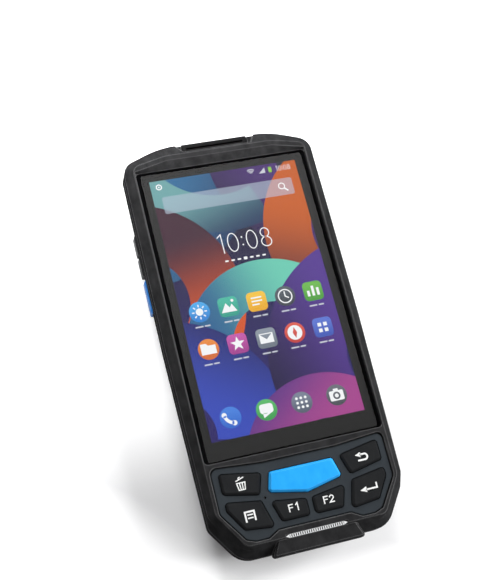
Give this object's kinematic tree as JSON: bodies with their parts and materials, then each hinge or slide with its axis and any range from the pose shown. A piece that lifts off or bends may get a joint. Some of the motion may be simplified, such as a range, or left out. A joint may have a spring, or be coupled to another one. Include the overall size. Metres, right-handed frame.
{
  "type": "handheld barcode data terminal",
  "caption": "Rugged handheld barcode data terminal with a touch display, a keypad plate, a scan window in its top end, side triggers and a hinged battery door.",
  "frame": {"origin": "middle of the flat back face, half-way along the body", "axes": "+Z out of the display, +Y towards the scanning end, +X to the right of someone reading the display"},
  "size_m": [0.081, 0.1704, 0.0254],
  "materials": {
    "housing_black": "fine spark-eroded texture, semi-matt, charcoal black",
    "plate_slate": "satin blue-grey",
    "key_black": "satin black with white legends",
    "key_blue": "satin bright blue, plain",
    "trigger_blue": "satin darker blue",
    "cover_glass": "polished, black printed border, lit picture in the middle",
    "scan_glass": "polished, dark red tint",
    "lens_glass": "polished",
    "flash_plastic": "frosted yellowish white",
    "seal_rubber": "dull black",
    "cover_rubber": "dull black",
    "mat_rubber": "dull grey silicone",
    "panel_face": "display panel, dark when unlit",
    "frame_metal": "bare, as cast",
    "sheet_steel": "plain tin plate",
    "grille_steel": "bright, fine ribs",
    "insert_brass": "knurled brass",
    "screw_steel": "black oxide",
    "board_green": "green solder mask",
    "module_black": "plain black",
    "battery_grey": "plain dark grey shell",
    "mesh_black": "fine black dust mesh"
  },
  "bodies": {
    "casing": {"front_housing": "housing_black", "rear_housing": "housing_black", "housing_seal": "seal_rubber", "thread_inserts": "insert_brass", "housing_screws": "screw_steel", "display_glass": "cover_glass", "display_gasket": "seal_rubber", "display_module": "panel_face", "chassis": "frame_metal", "keypad_plate": "plate_slate", "keypad_mat": "mat_rubber", "keypad_board": "board_green", "dome_switches": "sheet_steel", "microphone": "sheet_steel", "side_key_board_left": "board_green", "side_key_board_right": "board_green", "side_switches": "module_black", "window_bezel": "housing_black", "scan_window": "scan_glass", "scan_engine": "module_black", "engine_bracket": "sheet_steel", "main_board": "board_green", "shield_cans": "sheet_steel", "vibration_motor": "sheet_steel", "antenna": "insert_brass", "speaker": "module_black", "speaker_grille": "grille_steel", "speaker_mesh": "mesh_black", "usb_socket": "sheet_steel", "port_board": "board_green", "camera_module": "module_black", "camera_window": "lens_glass", "flash_lens": "flash_plastic", "battery": "battery_grey", "battery_contacts": "module_black", "door_seal": "seal_rubber"},
    "key_back": {"key_back": "key_black"},
    "key_delete": {"key_delete": "key_black"},
    "key_enter": {"key_enter": "key_black"},
    "key_menu": {"key_menu": "key_black"},
    "key_f1": {"key_f1": "key_black"},
    "key_f2": {"key_f2": "key_black"},
    "key_scan": {"key_scan": "key_blue"},
    "volume_up_key": {"volume_up_key": "key_black"},
    "volume_down_key": {"volume_down_key": "key_black"},
    "left_trigger": {"left_trigger": "trigger_blue"},
    "power_key": {"power_key": "key_black"},
    "right_trigger": {"right_trigger": "trigger_blue"},
    "battery_door": {"battery_door": "housing_black"},
    "door_latch": {"door_latch": "key_black"},
    "port_cover": {"port_cover": "cover_rubber"}
  },
  "joints": [
    {"name": "key_back_press", "type": "slide", "parent": "casing", "child": "key_back", "axis": [0, 0, -1], "range_m": [0, 0.0005], "stiffness_N_per_m": 300, "springref_m": -0.0003},
    {"name": "key_delete_press", "type": "slide", "parent": "casing", "child": "key_delete", "axis": [0, 0, -1], "range_m": [0, 0.0005], "stiffness_N_per_m": 300, "springref_m": -0.0003},
    {"name": "key_enter_press", "type": "slide", "parent": "casing", "child": "key_enter", "axis": [0, 0, -1], "range_m": [0, 0.0005], "stiffness_N_per_m": 300, "springref_m": -0.0003},
    {"name": "key_menu_press", "type": "slide", "parent": "casing", "child": "key_menu", "axis": [0, 0, -1], "range_m": [0, 0.0005], "stiffness_N_per_m": 300, "springref_m": -0.0003},
    {"name": "key_f1_press", "type": "slide", "parent": "casing", "child": "key_f1", "axis": [0, 0, -1], "range_m": [0, 0.0005], "stiffness_N_per_m": 300, "springref_m": -0.0003},
    {"name": "key_f2_press", "type": "slide", "parent": "casing", "child": "key_f2", "axis": [0, 0, -1], "range_m": [0, 0.0005], "stiffness_N_per_m": 300, "springref_m": -0.0003},
    {"name": "key_scan_press", "type": "slide", "parent": "casing", "child": "key_scan", "axis": [0, 0, -1], "range_m": [0, 0.0005], "stiffness_N_per_m": 300, "springref_m": -0.0003},
    {"name": "volume_up_key_press", "type": "slide", "parent": "casing", "child": "volume_up_key", "axis": [1, 0, 0], "range_m": [0, 0.0005], "stiffness_N_per_m": 300, "springref_m": -0.0003},
    {"name": "volume_down_key_press", "type": "slide", "parent": "casing", "child": "volume_down_key", "axis": [1, 0, 0], "range_m": [0, 0.0005], "stiffness_N_per_m": 300, "springref_m": -0.0003},
    {"name": "left_trigger_press", "type": "slide", "parent": "casing", "child": "left_trigger", "axis": [1, 0, 0], "range_m": [0, 0.0005], "stiffness_N_per_m": 300, "springref_m": -0.0003},
    {"name": "power_key_press", "type": "slide", "parent": "casing", "child": "power_key", "axis": [-1, 0, 0], "range_m": [0, 0.0005], "stiffness_N_per_m": 300, "springref_m": -0.0003},
    {"name": "right_trigger_press", "type": "slide", "parent": "casing", "child": "right_trigger", "axis": [-1, 0, 0], "range_m": [0, 0.0005], "stiffness_N_per_m": 300, "springref_m": -0.0003},
    {"name": "battery_door_hinge", "type": "hinge", "parent": "casing", "child": "battery_door", "pos_m": [0, 0.02123, 0.0012], "axis": [1, 0, 0], "range_deg": [0, 85]},
    {"name": "door_latch_slide", "type": "slide", "parent": "battery_door", "child": "door_latch", "axis": [0, -1, 0], "range_m": [0, 0.0025]},
    {"name": "port_cover_hinge", "type": "hinge", "parent": "casing", "child": "port_cover", "pos_m": [0, -0.08338, 0.0153], "axis": [-1, 0, 0], "range_deg": [0, 90]}
  ]
}
